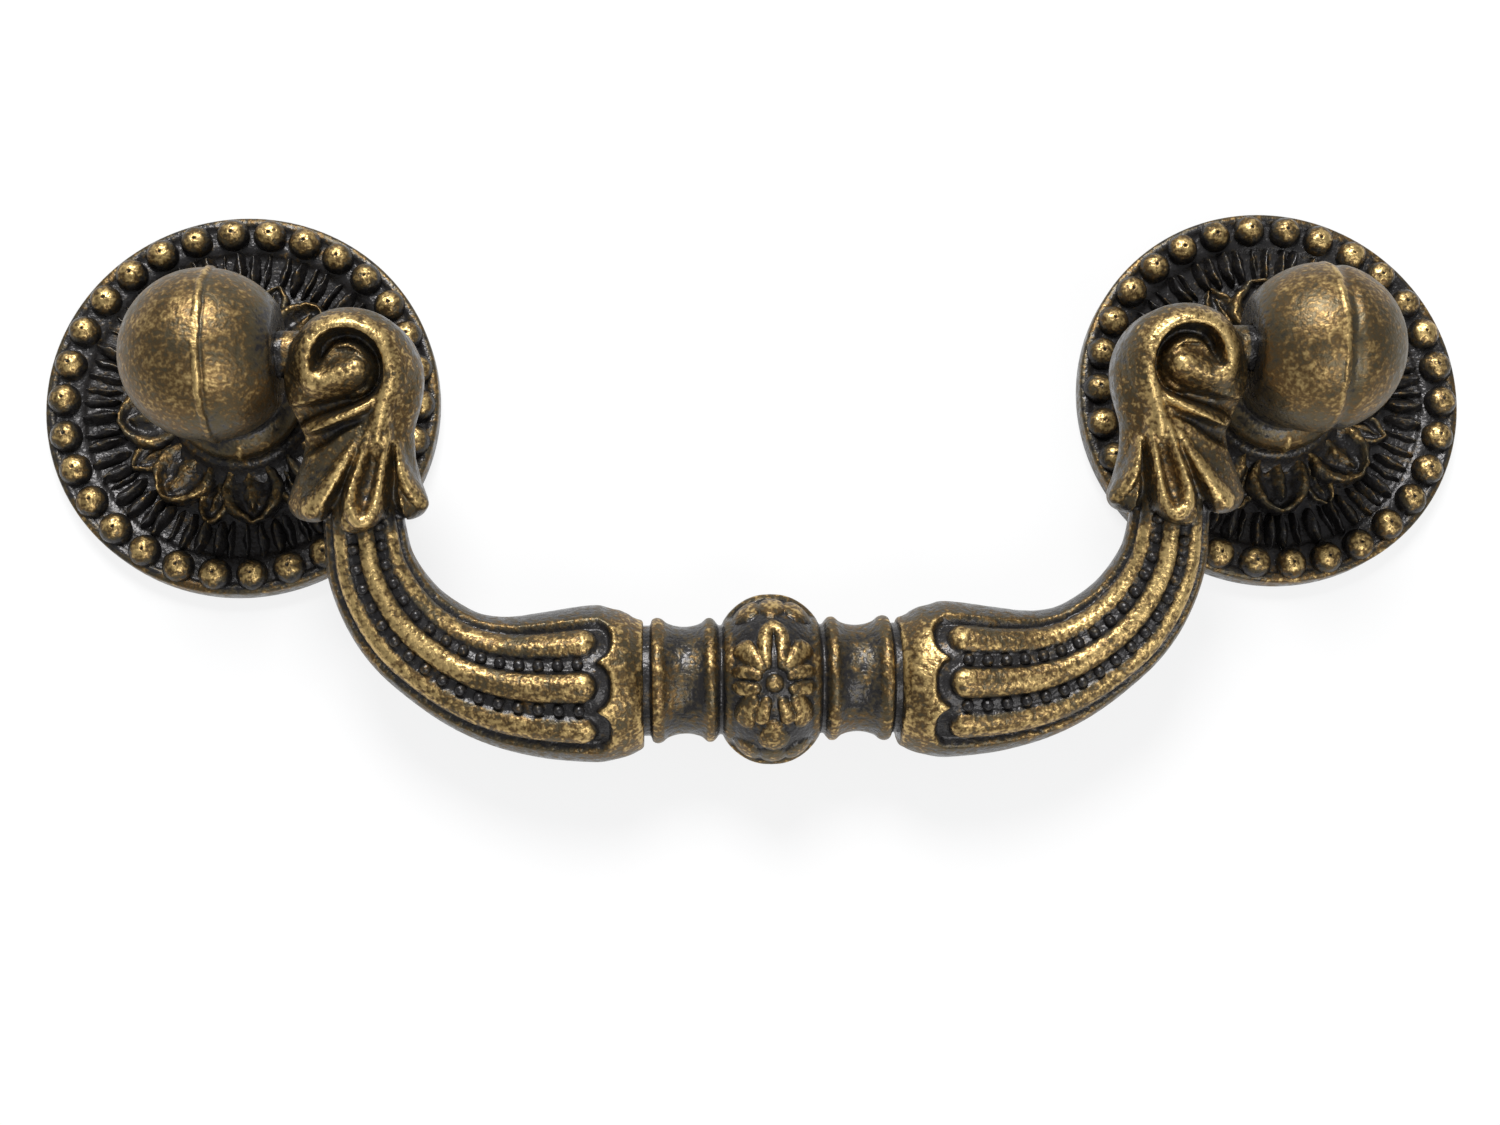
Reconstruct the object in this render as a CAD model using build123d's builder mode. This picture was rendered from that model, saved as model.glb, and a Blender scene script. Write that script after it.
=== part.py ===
from build123d import *
from math import acos, asin, atan2, cos, degrees, pi, radians, sin
import os

# Cast drop handle for a drawer: a bail that swings between two ball posts,
# each post standing on a round relief rosette.
# Millimetres. X runs along the screw spacing, +Z out of the drawer front,
# origin midway between the two screw holes on the mounting plane.

# Screws and ball posts
screw_spacing = 96.0
screw_drill_radius = 1.65
screw_hole_depth = 11.5
pivot_height = 17.5
ball_radius = 7.4
ball_pole = 84.0
ball_steps = 10
ball_flat_offset = 6.0
neck_radius = 4.3
collar_radius = 6.0
collar_height = 3.0
spigot_radius = 3.2
spigot_clearance = 0.1
turned_sides = 20

# Pivot of the bail
pin_radius = 2.0
pin_clearance = 0.05
pivot_bore_depth = 4.5
pin_end_clearance = 0.5
scroll_side_clearance = 0.7

# Rosette
rosette_radius = 18.0
rim_height = 2.4
rim_width = 3.5
dish_depth = 1.0
hub_ledge = 0.6
hub_height = 2.2
bead_radius = 1.5
bead_gap = 0.4
bead_sides = 6
bead_height = 1.3
petal_count = 8
petal_gap = 1.1
petal_rim_gap = 3.3
petal_root_lap = 1.0
petal_height = 1.5
small_petal_half_width = 1.6
small_petal_height = 1.0
relief_draft = 35.0

# Scroll and leaf of the bail
scroll_radius = 5.7
scroll_drop = 2.2
scroll_thickness = 6.0
volute_eye_x = 1.8
volute_eye_y = 0.3
volute_lead = 1.5
volute_band = 2.8
volute_end_radius = 2.0
volute_end_band = 1.1
volute_height = 1.2
volute_start = 215.0
volute_sweep = 430.0
volute_steps = 14
leaf_waist_drop = 4.4
leaf_length = 7.6
leaf_waist_half_width = 4.3
leaf_waist_half_depth = 3.4
leaf_hem_half_width = 6.3
leaf_hem_half_depth = 5.0

# Arms, turned necks and knot of the bail
bail_drop = 28.85
arm_tuck = 2.2
arm_radius = 3.5
horn_radius = 6.9
horn_cap_length = 4.1
horn_cap_radius = 6.2
groove_radius = 5.0
groove_width = 0.6
ring_radius = 5.7
ring_width = 1.2
cove_length = 3.6
cove_radius = 4.6
knot_radius = 7.6
knot_half_width = 4.2
knot_band_half_width = 2.0
knot_edge_radius = 6.0
knot_rest_gap = 0.1
flower_petals = 8
flower_radius = 4.0
flower_eye_radius = 1.0
flower_petal_half_width = 1.1
flower_sink = 1.2
flower_rise = 0.4

# Worked out from the sizes above
post_x = screw_spacing / 2
flat_x = post_x - ball_flat_offset
dish_radius = rosette_radius - rim_width
dish_floor = rim_height - dish_depth
bead_circle_radius = rosette_radius - rim_width / 2
bead_count = int(2 * pi * bead_circle_radius / (2 * bead_radius + bead_gap))
hub_radius = collar_radius + hub_ledge
hub_top = dish_floor + hub_height
collar_top = hub_top + collar_height
petal_root_radius = hub_radius - petal_root_lap
petal_tip_radius = dish_radius - petal_rim_gap
scroll_x = flat_x - scroll_side_clearance - scroll_radius
leaf_waist_y = -scroll_drop - leaf_waist_drop
leaf_hem_y = leaf_waist_y - leaf_length
neck_start_x = knot_half_width + groove_width
neck_end_x = neck_start_x + 2 * ring_width + cove_length
horn_x = neck_end_x + groove_width + horn_cap_length
droop = asin((pivot_height - knot_radius - knot_rest_gap) / bail_drop)
# The bail's own plane: X across it, Y up from the pivot axis, Z out of its front
bail_plane = Plane(
    origin=(0, 0, pivot_height),
    x_dir=(1, 0, 0),
    z_dir=(0, -sin(droop), cos(droop)),
)
grip_plane = Plane(bail_plane * Plane((0, -bail_drop, 0)))

os.makedirs("parts", exist_ok=True)


def petal_shoulder(root, tip):
    """Distance out at which a petal is widest."""
    return root + (tip - root) * 2 / 3


def petal_outline(root, tip, half_width):
    """Pointed petal along the local X axis."""
    shoulder = petal_shoulder(root, tip)
    return [
        (root, -half_width / 2),
        (shoulder, -half_width),
        (tip, 0),
        (shoulder, half_width),
        (root, half_width / 2),
    ]


def turned_tiers(profile):
    """Flat-sided tiers through (height, radius) points, each from its wide end."""
    tiers = []
    for (low, low_radius), (high, high_radius) in zip(profile, profile[1:]):
        wide, narrow = max(low_radius, high_radius), min(low_radius, high_radius)
        if high > low:
            start, end = (low, high) if low_radius >= high_radius else (high, low)
            draft = degrees(atan2((wide - narrow) * cos(pi / turned_sides), high - low))
            tiers.append((start, wide, end - start, draft))
    return tiers


# Rosettes: dished discs with a ring of rim beads and a two-layer flower
petal_half_width = petal_shoulder(petal_root_radius, petal_tip_radius) * sin(pi / petal_count) - petal_gap / 2
for side_name, side in (("left", -1), ("right", 1)):
    centre_x = side * post_x
    with BuildPart() as rosette:
        with BuildSketch(Plane((centre_x, 0, 0))):
            Circle(rosette_radius)
        extrude(amount=rim_height)
        with BuildSketch(Plane((centre_x, 0, rim_height))):
            Circle(dish_radius)
        extrude(amount=-dish_depth, mode=Mode.SUBTRACT)
        with BuildSketch(Plane((centre_x, 0, rim_height))):
            with PolarLocations(bead_circle_radius, bead_count):
                RegularPolygon(bead_radius, bead_sides)
        extrude(amount=bead_height, taper=relief_draft)
        with BuildSketch(Plane((centre_x, 0, dish_floor))):
            Circle(hub_radius)
        extrude(amount=hub_height)
        with BuildSketch(Plane((centre_x, 0, dish_floor))):
            with PolarLocations(0, petal_count, start_angle=180 / petal_count):
                Polygon(*petal_outline(petal_root_radius, petal_tip_radius, small_petal_half_width), align=None)
        extrude(amount=small_petal_height, taper=relief_draft)
        with BuildSketch(Plane((centre_x, 0, dish_floor))):
            with PolarLocations(0, petal_count):
                Polygon(*petal_outline(petal_root_radius, petal_tip_radius, petal_half_width), align=None)
        extrude(amount=petal_height, taper=relief_draft)
        with BuildSketch(Plane((centre_x, 0, 0))):
            Circle(spigot_radius + spigot_clearance)
        extrude(amount=hub_top, mode=Mode.SUBTRACT)
    rosette.part.label = f"{side_name}_rosette"
    export_step(rosette.part, f"parts/{side_name}_rosette.step")

# Ball posts: a spigot through the rosette, a collar on its hub, a neck and a ball,
# with a flat and a blind pivot bore on the side that faces the bail
neck_turn = -degrees(acos(neck_radius / ball_radius))
ball_turns = [radians(neck_turn + (ball_pole - neck_turn) * step / ball_steps) for step in range(ball_steps + 1)]
post_profile = [
    (0, spigot_radius),
    (hub_top, spigot_radius),
    (hub_top, collar_radius),
    (collar_top, collar_radius),
    (collar_top, neck_radius),
    *[(pivot_height + ball_radius * sin(turn), ball_radius * cos(turn)) for turn in ball_turns],
]
for side_name, side in (("left", -1), ("right", 1)):
    centre_x = side * post_x
    with BuildPart() as ball_post:
        for height, radius, rise, draft in turned_tiers(post_profile):
            with BuildSketch(Plane((centre_x, 0, height))):
                RegularPolygon(radius, turned_sides)
            extrude(amount=rise, taper=draft)
        flat_plane = Plane(origin=(side * flat_x, 0, pivot_height), x_dir=(0, 1, 0), z_dir=(-side, 0, 0))
        with BuildSketch(flat_plane):
            Circle(ball_radius)
        extrude(amount=ball_radius, mode=Mode.SUBTRACT)
        with BuildSketch(flat_plane):
            Circle(pin_radius + pin_clearance)
        extrude(amount=-pivot_bore_depth, mode=Mode.SUBTRACT)
        with BuildSketch(Plane((centre_x, 0, 0))):
            Circle(screw_drill_radius)
        extrude(amount=screw_hole_depth, mode=Mode.SUBTRACT)
    ball_post.part.label = f"{side_name}_ball_post"
    export_step(ball_post.part, f"parts/{side_name}_ball_post.step")


def square_to_arm(x, y, heading):
    """Plane across the arm: local X to its outer edge, local Y out of the bail's front."""
    turn = radians(heading)
    across = Plane(
        origin=(x, y, 0),
        x_dir=(-sin(turn), cos(turn), 0),
        z_dir=(cos(turn), sin(turn), 0),
    )
    return Plane(bail_plane * across)


def ringed(points, half_width, half_depth):
    """Closed outline through (angle, share) points of an ellipse."""
    return [
        (share * half_width * cos(radians(angle)), share * half_depth * sin(radians(angle)))
        for angle, share in points
    ]


def between(start, end, share):
    return start + (end - start) * share


def volute_edge(start_radius, end_radius):
    """Points of a spiral that winds from the leaf over the top and in to the eye."""
    points = []
    for step in range(volute_steps + 1):
        share = step / volute_steps
        turn = radians(volute_start - volute_sweep * share)
        radius = start_radius * (end_radius / start_radius) ** share
        points.append((radius * cos(turn), radius * sin(turn)))
    return points


# Reeded section as (angle, share): three reeds and two bead grooves on the front, a plain back
reed_points = [
    (0, 1), (30, 1), (58, 1), (66, 0.86), (74, 1), (106, 1), (114, 0.86), (122, 1), (150, 1),
    (180, 1), (225, 1), (270, 1), (315, 1),
]
# Stations from under the leaf to the horn's mouth: shares of the way across, down and
# of the growth in radius, with the heading
arm_stations = [
    (0, 0, 0, -92),
    (0.04, 0.44, 0.12, -108),
    (0.23, 0.77, 0.32, -137),
    (0.55, 0.97, 0.62, -165),
    (1, 1, 1, -180),
]
# Leaf section as (angle, share): three lobes on the front, a plain back
leaf_points = [
    (0, 1), (32, 1.04), (62, 0.84), (90, 1.06), (118, 0.84), (148, 1.04),
    (180, 1), (225, 1), (270, 0.85), (315, 1),
]
# Leaf from waist to hem: shares of its length and of its flare
leaf_stations = [(0, 0), (0.55, 0.5), (1, 1)]
# Half of the knot, its grooves and rings, the cove between them and the horn's cap
half_profile = [
    (knot_band_half_width, knot_radius),
    (knot_half_width, knot_edge_radius),
    (knot_half_width, groove_radius),
    (neck_start_x, groove_radius),
    (neck_start_x, ring_radius),
    (neck_start_x + ring_width, ring_radius),
    (neck_start_x + ring_width + cove_length / 2, cove_radius),
    (neck_end_x - ring_width, ring_radius),
    (neck_end_x, ring_radius),
    (neck_end_x, groove_radius),
    (neck_end_x + groove_width, groove_radius),
    (neck_end_x + groove_width, horn_cap_radius),
    (horn_x, horn_radius),
]
knot_profile = [(-x, radius) for x, radius in reversed(half_profile)] + half_profile

with BuildPart() as bail:
    # Right arm, leaf, scroll and pin
    for across, down, growth, heading in arm_stations:
        station_x = between(scroll_x, horn_x, across)
        station_y = between(leaf_hem_y + arm_tuck, -bail_drop, down)
        radius = between(arm_radius, horn_radius, growth)
        with BuildSketch(square_to_arm(station_x, station_y, heading)):
            Polygon(*ringed(reed_points, radius, radius), align=None)
    loft()
    for down, flare in leaf_stations:
        station_y = between(leaf_waist_y, leaf_hem_y, down)
        half_width = between(leaf_waist_half_width, leaf_hem_half_width, flare)
        half_depth = between(leaf_waist_half_depth, leaf_hem_half_depth, flare)
        with BuildSketch(square_to_arm(scroll_x, station_y, -90)):
            Polygon(*ringed(leaf_points, half_width, half_depth), align=None)
    loft(ruled=True)
    with BuildSketch(bail_plane.offset(-scroll_thickness / 2)):
        with Locations((scroll_x, -scroll_drop)):
            Circle(scroll_radius)
    extrude(amount=scroll_thickness)
    volute_radius = scroll_radius + volute_lead
    outer_edge = volute_edge(volute_radius, volute_end_radius)
    inner_edge = volute_edge(volute_radius - volute_band, volute_end_radius - volute_end_band)
    with BuildSketch(bail_plane.offset(scroll_thickness / 2)):
        with Locations((scroll_x + volute_eye_x, volute_eye_y - scroll_drop)):
            Polygon(*outer_edge, *reversed(inner_edge), align=None)
    extrude(amount=volute_height)
    with BuildSketch(Plane(origin=(scroll_x, 0, pivot_height), x_dir=(0, 1, 0), z_dir=(1, 0, 0))):
        Circle(pin_radius)
    extrude(amount=flat_x + pivot_bore_depth - pin_end_clearance - scroll_x)
    # Left side
    mirror(about=Plane.YZ)
    # Knot with its turned necks
    for station_x, radius, rise, draft in turned_tiers(knot_profile):
        with BuildSketch(Plane(grip_plane * Plane((station_x, 0, 0), x_dir=(0, 0, 1), z_dir=(1, 0, 0)))):
            RegularPolygon(radius, turned_sides)
        extrude(amount=rise, taper=draft)
    with BuildSketch(grip_plane.offset(knot_radius - flower_sink)):
        with PolarLocations(0, flower_petals):
            Polygon(*petal_outline(flower_eye_radius, flower_radius, flower_petal_half_width), align=None)
    extrude(amount=flower_sink + flower_rise)
bail.part.label = "bail"
export_step(bail.part, "parts/bail.step")
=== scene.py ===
from math import asin, cos, pi, radians, sin

import bmesh
import bpy
import numpy as np
from mathutils import Matrix, Vector


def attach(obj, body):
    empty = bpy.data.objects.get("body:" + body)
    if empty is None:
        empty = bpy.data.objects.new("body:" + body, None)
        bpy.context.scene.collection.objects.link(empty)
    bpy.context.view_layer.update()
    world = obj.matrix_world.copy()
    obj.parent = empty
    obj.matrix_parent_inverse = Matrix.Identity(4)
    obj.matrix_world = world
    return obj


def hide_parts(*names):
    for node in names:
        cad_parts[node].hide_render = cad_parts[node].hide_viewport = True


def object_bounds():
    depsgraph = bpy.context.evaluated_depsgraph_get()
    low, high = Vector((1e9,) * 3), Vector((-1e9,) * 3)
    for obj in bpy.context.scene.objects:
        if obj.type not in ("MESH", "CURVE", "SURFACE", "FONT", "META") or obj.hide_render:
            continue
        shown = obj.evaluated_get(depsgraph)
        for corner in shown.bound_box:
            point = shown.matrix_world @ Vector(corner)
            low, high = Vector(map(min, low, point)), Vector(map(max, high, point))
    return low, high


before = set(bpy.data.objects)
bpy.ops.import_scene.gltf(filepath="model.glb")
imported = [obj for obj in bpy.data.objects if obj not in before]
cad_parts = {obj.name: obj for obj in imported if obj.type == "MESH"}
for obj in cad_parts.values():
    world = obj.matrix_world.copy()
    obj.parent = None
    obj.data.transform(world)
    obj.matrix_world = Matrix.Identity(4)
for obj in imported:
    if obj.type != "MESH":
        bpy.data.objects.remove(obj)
cad_low, cad_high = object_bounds()

# Sizes shared with the solids, in millimetres
MM = 0.001
POST_X = 48.0
PIVOT_HEIGHT = 17.5
BALL_RADIUS = 7.4
BALL_FLAT = 6.0
PIN_RADIUS = 2.0
PIN_BORE_RADIUS = 2.05
PIN_BORE_DEPTH = 4.5
PIN_END = 46.0
BAIL_DROP = 28.85
KNOT_RADIUS = 7.6
KNOT_REST_GAP = 0.1
DROOP = asin((PIVOT_HEIGHT - KNOT_RADIUS - KNOT_REST_GAP) / BAIL_DROP)
BALL_TOP = cad_high.z / MM


# Node trees
class Wire:
    """A node's socket; operators on it add Math nodes to its tree."""

    def __init__(self, tree, socket=None):
        self.tree = tree
        self.socket = socket

    def node(self, kind, settings=None, inputs=None, output=0):
        made = self.tree.nodes.new(kind)
        for name, value in (settings or {}).items():
            setattr(made, name, value)
        for name, value in (inputs or {}).items():
            if isinstance(value, Wire):
                self.tree.links.new(value.socket, made.inputs[name])
            else:
                made.inputs[name].default_value = value
        return Wire(self.tree, made.outputs[output]) if made.outputs else made

    def math(self, operation, first, second):
        return self.node("ShaderNodeMath", {"operation": operation}, {0: first, 1: second})

    def __add__(self, other):
        return self.math("ADD", self, other)

    def __radd__(self, other):
        return self.math("ADD", other, self)

    def __sub__(self, other):
        return self.math("SUBTRACT", self, other)

    def __rsub__(self, other):
        return self.math("SUBTRACT", other, self)

    def __mul__(self, other):
        return self.math("MULTIPLY", self, other)

    def rise(self, low, high):
        """Goes smoothly from 0 at low to 1 at high."""
        return self.node(
            "ShaderNodeMapRange",
            {"interpolation_type": "SMOOTHSTEP"},
            {"Value": self, "From Min": low, "From Max": high},
        )

    def tint(self, low_colour, high_colour):
        """Mixes two colours, or two sockets of colour, by this value."""
        return self.node(
            "ShaderNodeMix",
            {"data_type": "RGBA", "clamp_factor": True},
            {0: self, 6: low_colour, 7: high_colour},
            output=2,
        )


# Brass: its colours, the sizes of its noises in metres and the wear at which its layers show
PATINA = (0.020, 0.018, 0.018, 1)
BRONZE = (0.112, 0.090, 0.052, 1)
RUSSET = (0.135, 0.080, 0.032, 1)
WORN_GOLD = (0.600, 0.425, 0.175, 1)
GRAIN_SIZE = 0.0007
SPECKLE_SIZE = 0.00036
PIT_DEPTH = 0.0001
BROWN_RANGE = 0.34
RUSSET_RANGE = (0.22, 0.62)
GOLD_MIDDLE = 0.75
PATINA_SHEEN = 0.25
SHEEN_ROUGHNESS = 0.4


def antique_brass(name, mottle_size, speckling, softness, black_below, pitting):
    """Cast brass, dark in the recesses, brown on the flats and rubbed to gold on the ridges.

    Mottle is the cloudy noise, speckling breaks up the wear, softness widens the change to gold,
    black_below is the wear under which the patina stays whole, and pitting is the strength of the bump.
    """
    material = bpy.data.materials.new(name)
    material.use_nodes = True
    tree = material.node_tree
    tree.nodes.clear()
    start = Wire(tree)
    place = start.node("ShaderNodeTexCoord", output="Object")
    # The worn attribute holds wear, and on the ball posts and bail arms also painted shade
    worn = start.node("ShaderNodeAttribute", {"attribute_name": "worn"}, output="Fac")

    def noise(size, detail):
        inputs = {"Vector": place, "Scale": 1 / size, "Detail": detail}
        return start.node("ShaderNodeTexNoise", None, inputs) - 0.5

    mottle = noise(mottle_size, 3.0)
    grain = noise(GRAIN_SIZE, 2.0)
    speckle = noise(SPECKLE_SIZE, 1.0)
    rubbed = worn + speckle * speckling + grain * (speckling * 0.65) + mottle * 0.9
    gold = rubbed.rise(GOLD_MIDDLE - softness, GOLD_MIDDLE + softness)
    dulled = worn + speckle * 0.5 + mottle * 0.7 + grain * 0.7
    brown = dulled.rise(black_below, black_below + BROWN_RANGE)
    flats = (rubbed + mottle * 0.6).rise(*RUSSET_RANGE).tint(BRONZE, RUSSET)
    ground = brown.tint(PATINA, flats)
    pits = speckle * 1.3 + grain * 1.5
    bump = start.node("ShaderNodeBump", None, {"Strength": pitting, "Distance": PIT_DEPTH, "Height": pits})
    shader = start.node(
        "ShaderNodeBsdfPrincipled",
        None,
        {
            "Base Color": gold.tint(ground, WORN_GOLD),
            "Metallic": brown * 0.4 + 0.5,
            "Roughness": 0.31 + brown * 0.14 - gold * 0.08 + grain * 0.4,
            "Coat Weight": PATINA_SHEEN - brown * PATINA_SHEEN,
            "Coat Roughness": SHEEN_ROUGHNESS,
            "Normal": bump,
        },
    )
    start.node("ShaderNodeOutputMaterial", None, {"Surface": shader})
    return material


rosette_brass = antique_brass(
    "rosette_brass", mottle_size=0.004, speckling=1.4, softness=0.27, black_below=0.06, pitting=0.6
)
post_brass = antique_brass(
    "post_brass", mottle_size=0.005, speckling=1.0, softness=0.34, black_below=-0.02, pitting=0.35
)
bail_brass = antique_brass(
    "bail_brass", mottle_size=0.004, speckling=1.35, softness=0.28, black_below=0.05, pitting=0.6
)


# Meshes
MERGE_GAP = 1e-7


def smooth_step(low, high, value):
    """Goes smoothly from 0 at low to 1 at high, also where low is the larger."""
    share = np.clip((value - low) / (high - low), 0, 1)
    return share * share * (3 - 2 * share)


def smooth_line(rows, steps=12):
    """A smooth line through rows of numbers, with the same number of steps between each two rows."""
    rows = np.asarray(rows, float)
    before = np.vstack((2 * rows[0] - rows[1], rows[:-2]))
    after = np.vstack((rows[2:], 2 * rows[-1] - rows[-2]))
    share = np.linspace(0, 1, steps, endpoint=False)[:, None, None]
    first, second = rows[:-1], rows[1:]
    out_slope = (second - before) / 2
    in_slope = (after - first) / 2
    line = (
        first * (2 * share**3 - 3 * share**2 + 1)
        + out_slope * (share**3 - 2 * share**2 + share)
        + second * (3 * share**2 - 2 * share**3)
        + in_slope * (share**3 - share**2)
    )
    return np.vstack((line.swapaxes(0, 1).reshape(-1, rows.shape[1]), rows[-1:]))


def vertex_normals(points, quads):
    """Outward direction at each point of a mesh of quads."""
    faces = np.cross(points[quads[:, 2]] - points[quads[:, 0]], points[quads[:, 3]] - points[quads[:, 1]])
    total = np.zeros_like(points)
    for corner in range(4):
        for axis in range(3):
            total[:, axis] += np.bincount(quads[:, corner], faces[:, axis], len(points))
    return total / np.maximum(np.linalg.norm(total, axis=1, keepdims=True), 1e-12)


def standing_proud(points, quads, rounds):
    """How far each point stands out of its smoothed surroundings, in millimetres."""
    first = quads.T.reshape(-1)
    second = np.roll(quads, -1, axis=1).T.reshape(-1)
    size = len(points)
    neighbours = np.bincount(first, minlength=size) + np.bincount(second, minlength=size)
    smoothed = points.copy()
    for _ in range(rounds):
        total = np.zeros_like(points)
        for axis in range(3):
            total[:, axis] = np.bincount(first, smoothed[second, axis], size)
            total[:, axis] += np.bincount(second, smoothed[first, axis], size)
        smoothed = (smoothed + total / neighbours[:, None]) / 2
    return ((points - smoothed) * vertex_normals(points, quads)).sum(1)


def add_object(name, data):
    made = bpy.data.objects.new(name, data)
    bpy.context.scene.collection.objects.link(made)
    return made


def make_object(name, points, faces, worn, material, outward=True):
    """A smooth closed mesh from millimetres, with its wear, and on the ball posts and bail arms also painted
    shade, as an attribute.
    """
    mesh = bpy.data.meshes.new(name)
    mesh.from_pydata((np.asarray(points) * MM).tolist(), [], [tuple(face) for face in faces])
    wear = mesh.attributes.new("worn", "FLOAT", "POINT")
    wear.data.foreach_set("value", np.asarray(worn, np.float32))
    work = bmesh.new()
    work.from_mesh(mesh)
    bmesh.ops.remove_doubles(work, verts=work.verts, dist=MERGE_GAP)
    if outward:
        bmesh.ops.recalc_face_normals(work, faces=work.faces)
    work.to_mesh(mesh)
    work.free()
    mesh.shade_smooth()
    mesh.materials.append(material)
    return add_object(name, mesh)


def grid_quads(rows, columns, closed_rows):
    """Quads of a grid whose columns run all the way round."""
    row_count = rows if closed_rows else rows - 1
    row, column = np.meshgrid(np.arange(row_count), np.arange(columns), indexing="ij")
    next_row = (row + 1) % rows
    next_column = (column + 1) % columns
    quads = np.stack(
        (
            row * columns + column,
            row * columns + next_column,
            next_row * columns + next_column,
            next_row * columns + column,
        ),
        axis=-1,
    )
    return quads.reshape(-1, 4)


def turned(profile, turns):
    """Points of (radius, height, wear) rows turned round the Z axis."""
    profile = np.asarray(profile, float)
    angle = np.linspace(0, 2 * pi, turns, endpoint=False)
    radius, height, wear = profile[:, 0:1], profile[:, 1:2], profile[:, 2:3]
    ones = np.ones_like(angle)[None]
    points = np.stack((radius * np.cos(angle), radius * np.sin(angle), height * ones), axis=-1)
    return points.reshape(-1, 3), (wear * ones).reshape(-1)


def rounded_profile(corners, steps=6):
    """Rows of a profile with each corner cut to a small arc; a corner is (radius, height, wear, cut)."""
    corners = np.asarray(corners, float)
    rows = [corners[0, :3]]
    for before, corner, after in zip(corners, corners[1:], corners[2:]):
        to_before, to_after = before[:2] - corner[:2], after[:2] - corner[:2]
        cut = min(corner[3], np.linalg.norm(to_before) / 2, np.linalg.norm(to_after) / 2)
        start = corner[:2] + to_before / np.linalg.norm(to_before) * cut
        end = corner[:2] + to_after / np.linalg.norm(to_after) * cut
        for share in np.linspace(0, 1, steps if cut else 1):
            spot = start * (1 - share) ** 2 + 2 * corner[:2] * share * (1 - share) + end * share**2
            rows.append(np.append(spot, corner[2]))
    rows.append(corners[-1, :3])
    return np.array(rows)


def domed(outline, spine, rings):
    """Closed boss: an outline drawn in towards its spine through (share, height, wear) rings."""
    outline, spine = np.asarray(outline, float), np.asarray(spine, float)
    points, worn = [], []
    for share, height, wear in rings:
        ring = outline + (spine - outline) * share
        points.append(np.column_stack((ring, np.full(len(ring), height))))
        worn.append(np.full(len(ring), wear))
    quads = grid_quads(len(rings), len(outline), False)
    faces = [*quads.tolist(), list(range(len(outline)))]
    return np.vstack(points), faces, np.concatenate(worn)


# Rosette ornaments, each made at its own place on the ring's X axis
BEAD_COUNT = 30
BEAD_CIRCLE = 16.25
BEAD_RADIUS = 1.5
BEAD_RISE = 1.42
BEAD_SINK = 0.15
RIM_HEIGHT = 2.4
DISH_FLOOR = 1.4
RIB_COUNT = 62
RIB_CIRCLE = 13.0
RIB_HALF_LENGTH = 1.85
RIB_CREST_HALF_LENGTH = 1.35
RIB_HALF_WIDTH = 0.59
RIB_FLARE = 0.08
PETAL_COUNT = 8
PETAL_ROOT_WIDTH = 0.72
PETAL_SHOULDER = 0.4
ORNAMENT_SIDES = 20
PETAL_SIDES = 48


def rim_bead():
    """Round bead with a small dimple on its top, left dark as a painted reflection of the camera lens."""
    angle = np.linspace(0, 2 * pi, ORNAMENT_SIDES, endpoint=False)
    outline = np.column_stack((BEAD_CIRCLE + BEAD_RADIUS * np.cos(angle), BEAD_RADIUS * np.sin(angle)))
    spine = np.tile((BEAD_CIRCLE, 0.0), (ORNAMENT_SIDES, 1))
    rings = [(0.06, RIM_HEIGHT - 0.6, 0.0)]
    for degrees_up in np.linspace(0, 80, 9):
        lift = radians(degrees_up)
        wear = 0.12 + 0.67 * float(smooth_step(0.44, 0.94, sin(lift)))
        rings.append((1 - cos(lift), RIM_HEIGHT - BEAD_SINK + BEAD_RISE * sin(lift), wear))
    rings.append((0.91, RIM_HEIGHT + 1.24, 0.5))
    # Painted reflection of the camera lens: the floor of the dimple is left dark
    rings.append((0.96, RIM_HEIGHT + 1.1, 0.0))
    rings.append((1.0, RIM_HEIGHT + 1.05, 0.0))
    return domed(outline, spine, rings)


def gadroon_rib():
    """Short dark rib that points away from the flower."""
    angle = np.linspace(0, 2 * pi, ORNAMENT_SIDES, endpoint=False)
    half_width = RIB_HALF_WIDTH + RIB_FLARE * np.cos(angle)
    outline = np.column_stack((RIB_CIRCLE + RIB_HALF_LENGTH * np.cos(angle), half_width * np.sin(angle)))
    spine = np.column_stack((RIB_CIRCLE + RIB_CREST_HALF_LENGTH * np.cos(angle), 0 * angle))
    rings = [
        (0.0, DISH_FLOOR - 0.3, 0.0),
        (0.08, DISH_FLOOR + 0.15, 0.0),
        (0.3, DISH_FLOOR + 0.4, 0.03),
        (0.55, DISH_FLOOR + 0.7, 0.07),
        (0.8, DISH_FLOOR + 0.95, 0.12),
        (1.0, DISH_FLOOR + 1.02, 0.17),
    ]
    return domed(outline, spine, rings)


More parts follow.
